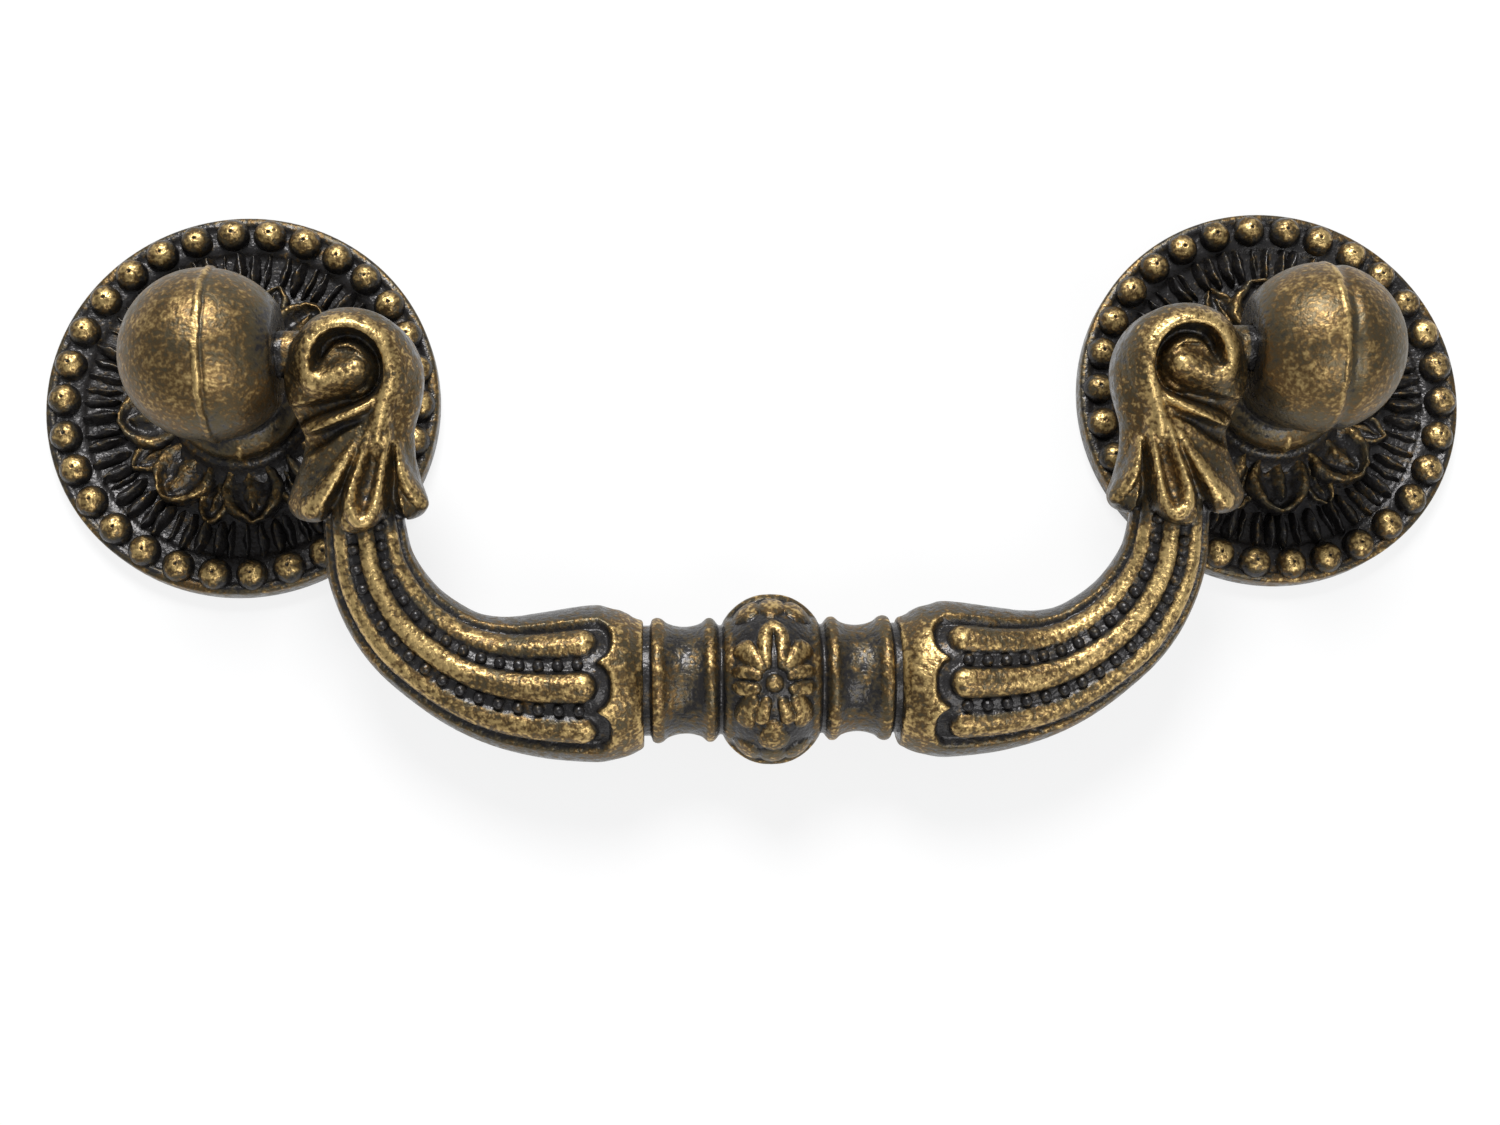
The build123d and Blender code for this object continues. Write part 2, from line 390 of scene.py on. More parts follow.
def flower_petal(root, tip, half_width, base, height):
    """Pointed petal with a raised edge and a midrib."""
    turn = np.linspace(0, 2 * pi, PETAL_SIDES, endpoint=False)
    along = 0.5 - 0.5 * np.cos(turn)
    side = np.sign(np.sin(turn))
    swell = PETAL_ROOT_WIDTH + (1 - PETAL_ROOT_WIDTH) * smooth_step(0, PETAL_SHOULDER, along)
    past_shoulder = np.clip(along - PETAL_SHOULDER, 0, None) / (1 - PETAL_SHOULDER)
    close = np.clip(1 - past_shoulder**2.2, 0, 1) ** 0.66
    outline = np.column_stack((root + (tip - root) * along, side * half_width * swell * close))
    spine = np.column_stack((root + (tip - root) * (0.08 + 0.68 * along), 0 * along))
    rings = [
        (0.0, base - 0.4, 0.0),
        (0.02, base + 0.35 * height, 0.02),
        (0.08, base + 0.75 * height, 0.2),
        (0.16, base + 0.97 * height, 0.42),
        (0.23, base + height, 0.52),
        (0.31, base + 0.93 * height, 0.42),
        (0.41, base + 0.64 * height, 0.15),
        (0.53, base + 0.42 * height, 0.04),
        (0.66, base + 0.38 * height, 0.04),
        (0.79, base + 0.48 * height, 0.12),
        (0.9, base + 0.76 * height, 0.3),
        (1.0, base + 0.88 * height, 0.42),
    ]
    return domed(outline, spine, rings)


# Section of the plate from its back round to the hub: radius, height, wear and corner
ROSETTE_PROFILE = rounded_profile(
    [
        (3.3, 0.0, 0.0, 0.0),
        (18.0, 0.0, 0.1, 0.25),
        (18.0, RIM_HEIGHT - 0.1, 0.35, 0.5),
        (17.3, RIM_HEIGHT, 0.15, 0.4),
        (16.9, RIM_HEIGHT - 0.25, 0.0, 0.4),
        (15.2, RIM_HEIGHT - 0.3, 0.0, 0.4),
        (14.7, RIM_HEIGHT - 0.45, 0.0, 0.3),
        (14.3, DISH_FLOOR + 0.25, 0.0, 0.4),
        (11.6, DISH_FLOOR, 0.0, 0.5),
        (8.5, DISH_FLOOR + 0.1, 0.0, 0.5),
        (6.9, 2.6, 0.0, 0.6),
        (6.3, 3.6, 0.15, 0.4),
        (3.3, 3.6, 0.0, 0.0),
    ]
)


# Geometry Nodes, with the size of the castings' lumps in metres
LUMP_SIZE = 0.0011


def new_tree(name, inputs):
    """An empty tree, a wire to start from and its inputs by name."""
    tree = bpy.data.node_groups.new(name, "GeometryNodeTree")
    tree.interface.new_socket("Geometry", in_out="OUTPUT", socket_type="NodeSocketGeometry")
    for label, kind in inputs:
        tree.interface.new_socket(label, in_out="INPUT", socket_type="NodeSocket" + kind)
    given = tree.nodes.new("NodeGroupInput")
    return tree, Wire(tree), {label: Wire(tree, given.outputs[label]) for label, _ in inputs}


def close_tree(tree, made, finish):
    """Ends a tree with plain mesh in one finish."""
    real = made.node("GeometryNodeRealizeInstances", None, {"Geometry": made})
    painted = made.node("GeometryNodeSetMaterial", None, {"Geometry": real, "Material": finish})
    end = tree.nodes.new("NodeGroupOutput")
    tree.links.new(painted.socket, end.inputs[0])


def lumpy(wire, geometry, amount, seed):
    """Moves points a little by noise, as in a worn mould."""
    place = wire.node("GeometryNodeInputPosition")
    noise = wire.node(
        "ShaderNodeTexNoise",
        {"noise_dimensions": "4D"},
        {"Vector": place, "W": seed, "Scale": 1 / LUMP_SIZE, "Detail": 1.0},
        output="Color",
    )
    shift = wire.node("ShaderNodeVectorMath", {"operation": "SUBTRACT"}, {0: noise, 1: (0.5, 0.5, 0.5)})
    offset = wire.node("ShaderNodeVectorMath", {"operation": "SCALE"}, {0: shift, "Scale": amount})
    return wire.node("GeometryNodeSetPosition", None, {"Geometry": geometry, "Offset": offset})


def random_between(wire, spread, seed):
    """A random number from minus to plus the spread for each copy."""
    node = wire.node("FunctionNodeRandomValue", {"data_type": "FLOAT"}, {"Seed": seed}).socket.node
    limits = {"Min": -1.0, "Max": 1.0}
    for socket in node.inputs:
        if socket.enabled and socket.name in limits:
            socket.default_value = limits[socket.name]
    drawn = next(socket for socket in node.outputs if socket.enabled)
    return Wire(wire.tree, drawn) * spread


def ring_tree():
    """Copies of one ornament turned round the rosette's axis, each a little uneven as castings are."""
    tree, wire, value = new_tree(
        "ring_of_ornaments",
        [
            ("Base", "Geometry"),
            ("Ornament", "Object"),
            ("Count", "Int"),
            ("Turn", "Float"),
            ("Uneven Turn", "Float"),
            ("Uneven Size", "Float"),
            ("Uneven Skin", "Float"),
            ("Seed", "Int"),
            ("Finish", "Material"),
        ],
    )
    spots = wire.node("GeometryNodeMeshLine", None, {"Count": value["Count"], "Offset": (0, 0, 0)})
    index = wire.node("GeometryNodeInputIndex")
    ornament = wire.node(
        "GeometryNodeObjectInfo",
        {"transform_space": "ORIGINAL"},
        {"Object": value["Ornament"]},
        output="Geometry",
    )
    shake = random_between(wire, value["Uneven Turn"], value["Seed"])
    swell = random_between(wire, value["Uneven Size"], value["Seed"] + 1)
    pitch = wire.math("DIVIDE", 2 * pi, value["Count"])
    turn = index * pitch + value["Turn"] + shake
    rotation = wire.node("ShaderNodeCombineXYZ", None, {"Z": turn})
    size = wire.node("ShaderNodeCombineXYZ", None, {"X": 1.0, "Y": swell + 1.0, "Z": swell * 0.5 + 1.0})
    copies = wire.node(
        "GeometryNodeInstanceOnPoints",
        None,
        {"Points": spots, "Instance": ornament, "Rotation": rotation, "Scale": size},
    )
    loose = wire.node("GeometryNodeRealizeInstances", None, {"Geometry": copies})
    cast = lumpy(wire, loose, value["Uneven Skin"], value["Seed"])
    joined = wire.node("GeometryNodeJoinGeometry", None, {"Geometry": cast})
    tree.links.new(value["Base"].socket, joined.socket.node.inputs["Geometry"])
    close_tree(tree, joined, value["Finish"])
    return tree


def string_tree():
    """Small beads evenly spaced along the object's lines."""
    tree, wire, value = new_tree(
        "bead_string",
        [
            ("Base", "Geometry"),
            ("Bead Radius", "Float"),
            ("Spacing", "Float"),
            ("Wear", "Float"),
            ("Finish", "Material"),
        ],
    )
    line = wire.node("GeometryNodeMeshToCurve", None, {"Mesh": value["Base"]})
    spots = wire.node(
        "GeometryNodeResampleCurve", {"mode": "LENGTH"}, {"Curve": line, "Length": value["Spacing"]}
    )
    bead = wire.node(
        "GeometryNodeMeshUVSphere", None, {"Segments": 10, "Rings": 7, "Radius": value["Bead Radius"]}
    )
    smooth = wire.node("GeometryNodeSetShadeSmooth", None, {"Geometry": bead})
    rubbed = wire.node(
        "GeometryNodeStoreNamedAttribute",
        {"data_type": "FLOAT", "domain": "POINT"},
        {"Geometry": smooth, "Name": "worn", "Value": value["Wear"]},
    )
    copies = wire.node("GeometryNodeInstanceOnPoints", None, {"Points": spots, "Instance": rubbed})
    close_tree(tree, copies, value["Finish"])
    return tree


def grow(piece, tree, **values):
    """Adds a tree to a piece with its inputs named by keyword."""
    modifier = piece.modifiers.new(tree.name, "NODES")
    modifier.node_group = tree
    for item in tree.interface.items_tree:
        key = item.name.lower().replace(" ", "_")
        if item.in_out == "INPUT" and key in values:
            modifier[item.identifier] = values[key]


def settle(piece):
    """Turns a piece with its modifiers into a plain mesh."""
    graph = bpy.context.evaluated_depsgraph_get()
    mesh = bpy.data.meshes.new_from_object(piece.evaluated_get(graph))
    piece.modifiers.clear()
    old = piece.data
    piece.data = mesh
    bpy.data.meshes.remove(old)
    mesh.name = piece.name


def finish_piece(piece, body, node):
    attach(piece, body)
    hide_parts(node)


# Rosettes
SIDES = (("left", -1), ("right", 1))
PLATE_TURNS = 144
# Degrees that the ring of beads and the flower are turned by
ROSETTE_TURNS = {"left": (10.7, 8.0), "right": (9.2, 2.5)}
plate_points, plate_worn = turned(ROSETTE_PROFILE, PLATE_TURNS)
plate_faces = grid_quads(len(ROSETTE_PROFILE), PLATE_TURNS, True)
small_petal = flower_petal(6.0, 11.9, 1.7, DISH_FLOOR, 0.8)
large_petal = flower_petal(5.8, 11.6, 3.1, DISH_FLOOR + 0.25, 1.3)
ornaments = {
    "bead": make_object("rim_bead", *rim_bead(), rosette_brass),
    "rib": make_object("gadroon_rib", *gadroon_rib(), rosette_brass),
    "small": make_object("small_petal", *small_petal, rosette_brass),
    "large": make_object("large_petal", *large_petal, rosette_brass),
}
ornament_ring = ring_tree()
for side, sign in SIDES:
    bead_turn, flower_turn = (radians(angle) for angle in ROSETTE_TURNS[side])
    # Ornament, count, turn, how uneven its turn and size are, and its lumps in millimetres
    ring_rows = (
        ("bead", BEAD_COUNT, bead_turn, 0.004, 0.04, 0.15),
        ("rib", RIB_COUNT, 0.0, 0.02, 0.3, 0.8),
        ("small", PETAL_COUNT, flower_turn + pi / PETAL_COUNT, 0.02, 0.06, 0.8),
        ("large", PETAL_COUNT, flower_turn, 0.03, 0.06, 0.8),
    )
    rosette = make_object(f"{side}_rosette_relief", plate_points, plate_faces, plate_worn, rosette_brass)
    for seed, (kind, count, turn, shake, swell, lumps) in enumerate(ring_rows):
        grow(
            rosette,
            ornament_ring,
            ornament=ornaments[kind],
            count=count,
            turn=turn,
            uneven_turn=shake,
            uneven_size=swell,
            uneven_skin=lumps * MM,
            seed=seed + 10 * (sign + 1),
            finish=rosette_brass,
        )
    settle(rosette)
    rosette.data.transform(Matrix.Translation((sign * POST_X * MM, 0, 0)))
    finish_piece(rosette, "posts_and_rosettes", f"{side}_rosette")
for ornament in ornaments.values():
    bpy.data.objects.remove(ornament)

# Ball posts: a turned stem, and a ball turned about the pivot axis
# Section of the stem from its screw hole up to the ball: radius, height, wear and corner
STEM_PROFILE = rounded_profile(
    [
        (0.0, 11.5, 0.0, 0.0),
        (1.65, 11.5, 0.0, 0.1),
        (1.65, 0.0, 0.1, 0.2),
        (3.2, 0.0, 0.1, 0.2),
        (3.2, 3.62, 0.0, 0.1),
        (5.5, 3.62, 0.05, 0.2),
        (6.1, 4.6, 0.26, 0.7),
        (6.0, 5.9, 0.34, 0.7),
        (5.2, 6.6, 0.2, 0.5),
        (4.5, 6.9, 0.05, 0.5),
        (4.3, 8.5, 0.15, 0.5),
        (4.4, 11.2, 0.05, 0.3),
        (3.0, 12.6, 0.0, 0.3),
        (0.0, 12.8, 0.0, 0.0),
    ]
)
STEM_TURNS = 192
BALL_TURNS = 160
# Casting seam: half width of the fine rows beside it, then its tick on the collar
SEAM_ZONE = 1.45
SEAM_HALF = 0.28
SEAM_RISE = 0.04
SEAM_WEAR = 0.5
SEAM_LEAST_RADIUS = 5.2
TOP_WEAR = 1.04
# Side, share of wear left on the lower half (partly painted shade there), and the place, height and half
# width of the ridge and of the valley where the halves of each ball meet
BALLS = (
    ("left", -1, 0.54, (-0.55, 0.17, 0.28, -1.0, 0.06, 0.16)),
    ("right", 1, 0.72, (0.25, 0.10, 0.30, 1.0, 0.27, 0.6)),
)


def ball_profile(ridge_at, ridge_rise, ridge_half, valley_at, valley_depth, valley_half):
    """(radius, distance out, wear) rows from the pivot bore round to the outer pole, the wear lowered as
    painted shade on the flat end by the scroll and in the seam's valley.
    """
    flat_radius = (BALL_RADIUS**2 - BALL_FLAT**2) ** 0.5
    rows = [
        (0.0, PIN_BORE_DEPTH - BALL_FLAT, 0.0),
        (PIN_BORE_RADIUS, PIN_BORE_DEPTH - BALL_FLAT, 0.0),
        (PIN_BORE_RADIUS, -BALL_FLAT, 0.0),
        (PIN_BORE_RADIUS + 0.2, -BALL_FLAT, 0.0),
        (flat_radius - 0.25, -BALL_FLAT, 0.05),
    ]
    outs = np.concatenate(
        (
            np.linspace(-BALL_FLAT + 0.1, ridge_at - SEAM_ZONE - 0.05, 22),
            np.linspace(ridge_at - SEAM_ZONE, ridge_at + SEAM_ZONE, 40),
            np.linspace(ridge_at + SEAM_ZONE + 0.05, 7.0, 24),
            BALL_RADIUS * np.sin(np.radians(np.linspace(72, 90, 8))),
        )
    )
    for out in outs:
        radius = max(BALL_RADIUS**2 - out**2, 0.0) ** 0.5
        near = np.exp(-(((out - ridge_at) / ridge_half) ** 4))
        low = np.exp(-(((out - valley_at) / valley_half) ** 2))
        # Painted shade: dark on the flat end beside the scroll and in the valley of the seam
        wear = 0.15 + 0.33 * smooth_step(-BALL_FLAT, -BALL_FLAT + 1.8, out) + 0.3 * near - 0.22 * low
        rows.append((max(radius + ridge_rise * near - valley_depth * low, 0.0), out, wear))
    return np.array(rows)


for side, sign, lower_wear_and_shade, seam in BALLS:
    seam_at = seam[0]
    stem_points, stem_worn = turned(STEM_PROFILE, STEM_TURNS)
    on_seam = np.exp(-(((stem_points[:, 0] - sign * seam_at) / SEAM_HALF) ** 2)) * (stem_points[:, 1] < 0)
    on_seam *= np.hypot(stem_points[:, 0], stem_points[:, 1]) > SEAM_LEAST_RADIUS
    stem_points[:, :2] *= 1 + SEAM_RISE * on_seam[:, None]
    stem_worn = stem_worn + SEAM_WEAR * on_seam
    ball_rows = ball_profile(*seam)
    ball_points, ball_wear_and_shade = turned(ball_rows, BALL_TURNS)
    height = ball_points[:, 1]
    # The upper half is rubbed brightest; the lower half, over the plate, is darker, partly as painted shade
    upper = smooth_step(-0.1, 0.9, height / BALL_RADIUS)
    ball_wear_and_shade = ball_wear_and_shade * (lower_wear_and_shade + (TOP_WEAR - lower_wear_and_shade) * upper)
    # The seam wanders a little round the ball
    turn = np.arctan2(ball_points[:, 1], ball_points[:, 0])
    wobble = 0.05 * np.sin(9 * turn + sign) + 0.04 * np.sin(23 * turn)
    beside = ball_points[:, 2] - seam_at
    ball_points[:, 2] += wobble * np.exp(-(beside**2))
    ball_points = np.column_stack((sign * ball_points[:, 2], ball_points[:, 0], height + PIVOT_HEIGHT))
    points = np.vstack((stem_points, ball_points))
    points[:, 0] += sign * POST_X
    points[:, 2] = np.minimum(points[:, 2], BALL_TOP)
    stem_faces = grid_quads(len(STEM_PROFILE), STEM_TURNS, False)
    ball_faces = grid_quads(len(ball_rows), BALL_TURNS, False) + len(stem_points)
    faces = np.vstack((stem_faces, ball_faces))
    post = make_object(f"{side}_post_casting", points, faces, np.append(stem_worn, ball_wear_and_shade), post_brass)
    finish_piece(post, "posts_and_rosettes", f"{side}_ball_post")


# Bail. Its own axes run across it, up from the pivot and out of its front.
def bail_to_row(points):
    across, up, out = np.asarray(points, float).T
    return np.column_stack(
        (
            across,
            up * cos(DROOP) - out * sin(DROOP),
            PIVOT_HEIGHT + up * sin(DROOP) + out * cos(DROOP),
        )
    )


# Degrees that the ornament is turned round the bail from its front
FACING = -9.0
STROKE_STEPS = 8
PROUD_ROUNDS = 60


def nearest_on(line, across, up):
    """Distance from a line, which side of it, and the share of the way along it."""
    gap = np.full(across.shape, np.inf)
    side = np.ones(across.shape)
    along = np.zeros(across.shape)
    count = len(line) - 1
    for index in range(count):
        start, reach = line[index, :2], line[index + 1, :2] - line[index, :2]
        from_x, from_y = across - start[0], up - start[1]
        share = np.clip((from_x * reach[0] + from_y * reach[1]) / (reach @ reach), 0, 1)
        off_x, off_y = from_x - share * reach[0], from_y - share * reach[1]
        found = np.hypot(off_x, off_y)
        closer = found < gap
        gap = np.where(closer, found, gap)
        side = np.where(closer, np.sign(reach[0] * from_y - reach[1] * from_x), side)
        along = np.where(closer, (index + share) / count, along)
    return gap, side, along


def carried(line, column, along):
    """A column of a line's rows, read at shares of the way along it."""
    return np.interp(along, np.linspace(0, 1, len(line)), line[:, column])


def stroke(rows, across, up, power=1.0):
    """Rounded ridge along a line of (across, up, half width, height) rows."""
    line = smooth_line(rows, STROKE_STEPS)
    gap, _, along = nearest_on(line, across, up)
    bulge = np.clip(1 - (gap / carried(line, 2, along)) ** 2, 0, 1)
    return carried(line, 3, along) * bulge**power


def blend(first, second, reach):
    """Union of two fields with a rounded inside corner."""
    share = np.clip(0.5 + 0.5 * (second - first) / reach, 0, 1)
    return second + (first - second) * share - reach * share * (1 - share)


def skin(field, corner, step):
    """Quads along the zero of a field, one point for each cell it passes through."""
    cells = tuple(size - 1 for size in field.shape)
    total = np.zeros((*cells, 3), np.float32)
    crossings = np.zeros(cells, np.int16)
    edges = []
    for axis in range(3):
        low = field[tuple(slice(0, -1) if a == axis else slice(None) for a in range(3))]
        high = field[tuple(slice(1, None) if a == axis else slice(None) for a in range(3))]
        place = np.argwhere((low < 0) != (high < 0))
        start = low[tuple(place.T)]
        share = start / (start - high[tuple(place.T)])
        edges.append((place, start < 0))
        spot = place.astype(np.float32)
        spot[:, axis] += share
        for shift_a in (0, 1):
            for shift_b in (0, 1):
                cell = place.copy()
                cell[:, (axis + 1) % 3] -= shift_a
                cell[:, (axis + 2) % 3] -= shift_b
                held = ((cell >= 0) & (cell < cells)).all(1)
                key = tuple(cell[held].T)
                total[key] += spot[held]
                crossings[key] += 1
    used = crossings > 0
    number = np.full(cells, -1)
    number[used] = np.arange(used.sum())
    points = total[used] / crossings[used][:, None] * step + np.asarray(corner)
    quads = []
    for axis, (place, leaving) in enumerate(edges):
        ring = []
        for shift_a, shift_b in ((1, 1), (0, 1), (0, 0), (1, 0)):
            cell = place.copy()
            cell[:, (axis + 1) % 3] -= shift_a
            cell[:, (axis + 2) % 3] -= shift_b
            ring.append(number[tuple(np.clip(cell, 0, np.array(cells) - 1).T)])
        quad = np.column_stack(ring)
        quads.append(np.where(leaving[:, None], quad, quad[:, ::-1]))
    return points.astype(float), np.vstack(quads)


# Centre line of a horn and arm from the knot's side, with its radius
ARM_LINE = smooth_line(
    [
        (11.0, -28.7, 4.8),
        (11.35, -28.7, 5.3),
        (11.8, -28.75, 5.85),
        (12.6, -28.85, 6.3),
        (14.0, -29.0, 6.7),
        (15.6, -29.05, 6.9),
        (19.35, -29.1, 6.5),
        (22.75, -28.8, 5.9),
        (25.7, -28.0, 5.3),
        (28.35, -26.65, 4.8),
        (31.15, -24.45, 4.5),
        (33.15, -21.9, 4.2),
        (34.6, -18.75, 3.85),
        (35.1, -15.5, 3.55),
        (35.3, -12.0, 3.3),
        (35.4, -8.0, 2.6),
    ]
)
MOUTH = 11.2
REED_PITCH = 38.5
REED_HALF = 13.5
REED_DEPTH = 0.9
REED_SWELL = 1.08
REED_TIP = 16.6
REED_TIP_LENGTH = 1.5
REED_SPREAD = 0.045
FULL_REED_RADIUS = 6.5
LEAST_REED_SIZE = 0.6
BORDER = (53.0, 58.0)
COLLAR_EDGE = 13.9
COLLAR_SCALLOP = 1.2


def spread(radius):
    """How much wider the reeds stand round the thin end of the arm."""
    return 1 + REED_SPREAD * np.clip(FULL_REED_RADIUS - radius, 0, None)


def reed_size(radius):
    """Share of the full carving at a radius of the arm."""
    return np.clip(radius / FULL_REED_RADIUS, LEAST_REED_SIZE, 1)


def arm_frame(across, up, out):
    """Radius of the arm, distance from its centre line and angle from the ornament's middle."""
    gap, side, along = nearest_on(ARM_LINE, across, up)
    radius = carried(ARM_LINE, 2, along)
    angle = np.degrees(np.arctan2(-gap * side, out)) - FACING
    angle = ((angle + 180) % 360 - 180) / spread(radius)
    return radius, np.hypot(gap, out), angle


def arm_field(across, up, out):
    """Horn and arm: three reeds with round tips between plain borders, and a scalloped collar."""
    radius, reach, angle = arm_frame(across, up, out)
    reed = REED_PITCH * np.round(np.clip(angle / REED_PITCH, -1, 1))
    off = np.abs(angle - reed)
    tip = np.clip((REED_TIP - across) / REED_TIP_LENGTH, 0, None)
    bulge = np.clip(1 - (off / REED_HALF) ** 2 - tip**2, 0, 1) ** 0.6
    plain = smooth_step(*BORDER, np.abs(angle))
    carving = REED_DEPTH * reed_size(radius) * (REED_SWELL * bulge - 1) * (1 - plain)
    edge = COLLAR_EDGE + COLLAR_SCALLOP * np.clip(off / (REED_PITCH / 2), 0, 1) ** 3
    collar = 1 - smooth_step(edge - 0.2, edge + 0.35, across)
    field = reach - radius - carving * (1 - collar)
    return np.maximum(field, MOUTH - across)


# Leaf bell: height up the bail, middle, half width and half depth
BELL = np.array(
    [
        (-16.0, 35.5, 6.0, 4.9),
        (-14.0, 35.6, 6.15, 4.8),
        (-12.5, 35.65, 6.0, 4.5),
        (-11.0, 35.6, 5.45, 4.1),
        (-9.0, 35.4, 4.8, 3.6),
        (-7.0, 35.25, 4.6, 3.3),
        (-5.0, 35.2, 4.55, 3.0),
        (-2.0, 35.3, 4.2, 2.6),
    ]
)
# Lobes of the hem: middle, lowest point, half width and rise at the half width
HEM_LOBES = ((31.2, -14.2, 2.6, 0.6), (35.4, -15.0, 1.9, 0.9), (39.6, -14.2, 2.6, 0.6))
HEM_ROUND = 1.4
BELL_TOP = -2.0
HEAD_BLEND = 1.2
SCROLL_CENTRE = (35.6, -2.2)
SCROLL_RADIUS = 5.85
SCROLL_HALF_DEPTH = 3.1
SCROLL_EDGE = 2.4
CARVED_FRONT = (0.2, 2.2)
# Carved lines of the scroll and leaf: across, up, half width and height
SCROLL_BAND = [
    (33.4, -6.0, 0.7, 0.4),
    (32.9, -4.4, 1.2, 0.8),
    (32.3, -2.6, 1.8, 1.15),
    (32.05, -1.1, 2.1, 1.3),
    (32.3, 0.4, 2.2, 1.3),
    (32.95, 1.55, 2.2, 1.3),
    (34.2, 2.5, 2.1, 1.3),
    (36.05, 2.9, 1.9, 1.3),
    (37.6, 2.55, 1.8, 1.3),
    (38.65, 1.55, 1.8, 1.3),
    (39.15, 0.2, 1.8, 1.3),
    (39.05, -1.1, 1.7, 1.25),
    (38.5, -1.95, 1.6, 1.25),
    (37.6, -2.0, 1.6, 1.3),
    (36.5, -1.6, 1.7, 1.4),
    (35.5, -1.2, 1.8, 1.45),
    (35.0, -1.0, 1.8, 1.4),
]
SCROLL_GROOVE = [
    (38.4, -0.9, 0.35, 1.0),
    (38.0, 0.2, 0.6, 1.9),
    (37.3, 1.15, 0.75, 2.3),
    (36.3, 1.6, 0.8, 2.3),
    (35.1, 1.55, 0.8, 2.3),
    (34.0, 0.85, 0.8, 2.3),
    (33.4, -0.3, 0.75, 2.2),
    (33.3, -1.6, 0.7, 2.1),
    (33.9, -2.75, 0.7, 2.0),
    (35.0, -3.5, 0.7, 1.8),
    (36.5, -4.0, 0.7, 1.7),
    (38.4, -4.55, 0.8, 1.8),
    (41.0, -5.4, 1.0, 2.2),
]
GROOVE_LIP = [
    (37.6, 0.1, 0.25, 0.4),
    (36.7, 0.95, 0.32, 1.0),
    (35.2, 1.0, 0.35, 1.3),
    (33.95, 0.0, 0.35, 1.3),
    (33.6, -1.5, 0.35, 1.3),
    (34.2, -2.85, 0.35, 1.1),
    (35.6, -3.6, 0.3, 0.6),
]
LEAF_STEM = [
    (32.7, -3.4, 0.9, 0.9),
    (33.05, -5.4, 1.0, 0.95),
    (33.35, -7.2, 0.8, 0.85),
    (33.5, -8.6, 0.4, 0.4),
]
TENDRIL = [
    (33.3, -3.7, 0.6, 0.6),
    (34.4, -4.2, 0.65, 0.9),
    (35.8, -4.9, 0.6, 0.9),
    (37.4, -5.6, 0.5, 0.8),
    (39.0, -6.4, 0.3, 0.4),
]
TENDRIL_GROOVE = [
    (34.8, -5.5, 0.3, 0.3),
    (36.5, -6.1, 0.55, 0.9),
    (38.0, -6.9, 0.8, 1.1),
    (40.4, -8.0, 0.9, 1.2),
]
OUTER_RIB = [
    (34.4, -6.0, 0.3, 0.1),
    (35.3, -7.6, 0.6, 0.5),
    (36.3, -9.1, 0.8, 0.8),
    (37.7, -11.1, 1.0, 0.8),
    (39.2, -12.8, 1.1, 0.6),
]
OUTER_GROOVE = [
    (34.9, -8.0, 0.3, 0.3),
    (35.9, -10.2, 0.5, 0.9),
    (36.9, -12.4, 0.75, 1.3),
    (37.5, -14.6, 0.9, 1.5),
]
CENTRE_RIM = [
    (33.5, -5.4, 0.55, 0.5),
    (34.3, -7.4, 0.7, 0.8),
    (35.2, -9.6, 0.75, 0.9),
    (35.65, -11.4, 0.8, 0.9),
    (35.5, -12.9, 0.85, 0.9),
    (34.6, -13.8, 0.9, 0.9),
    (33.7, -13.0, 0.85, 0.9),
    (33.15, -11.0, 0.8, 0.9),
    (32.9, -9.1, 0.7, 0.8),
    (32.6, -7.1, 0.6, 0.8),
    (32.6, -5.2, 0.5, 0.5),
]
CENTRE_HOLLOW = [(33.4, -7.6, 0.35, 0.2), (33.9, -9.8, 0.6, 0.4), (34.4, -12.0, 0.75, 0.4)]
INNER_GROOVE = [
    (32.2, -7.6, 0.3, 0.3),
    (32.35, -10.2, 0.5, 0.9),
    (32.4, -12.2, 0.7, 1.3),
    (32.0, -14.6, 0.9, 1.5),
]
INNER_RIB = [
    (31.9, -7.6, 0.5, 0.4),
    (31.5, -9.4, 0.6, 0.7),
    (30.9, -11.0, 0.8, 0.8),
    (29.6, -12.6, 1.0, 0.6),
]
# Ridges: the line, how steeply it is domed and how far it is rubbed bright beside its crest
RIDGES = (
    (SCROLL_BAND, 1.7, 1.25),
    (LEAF_STEM, 1.0, 1.0),
    (TENDRIL, 1.0, 0.65),
    (OUTER_RIB, 1.0, 1.0),
    (CENTRE_RIM, 1.0, 0.9),
    (INNER_RIB, 1.0, 1.0),
)
GROOVES = (SCROLL_GROOVE, TENDRIL_GROOVE, OUTER_GROOVE, CENTRE_HOLLOW, INNER_GROOVE)


def hem_height(across):
    """Lower edge of the leaf, in three lobes."""
    return np.min([low + rise * ((across - lobe) / half) ** 2 for lobe, low, half, rise in HEM_LOBES], axis=0)


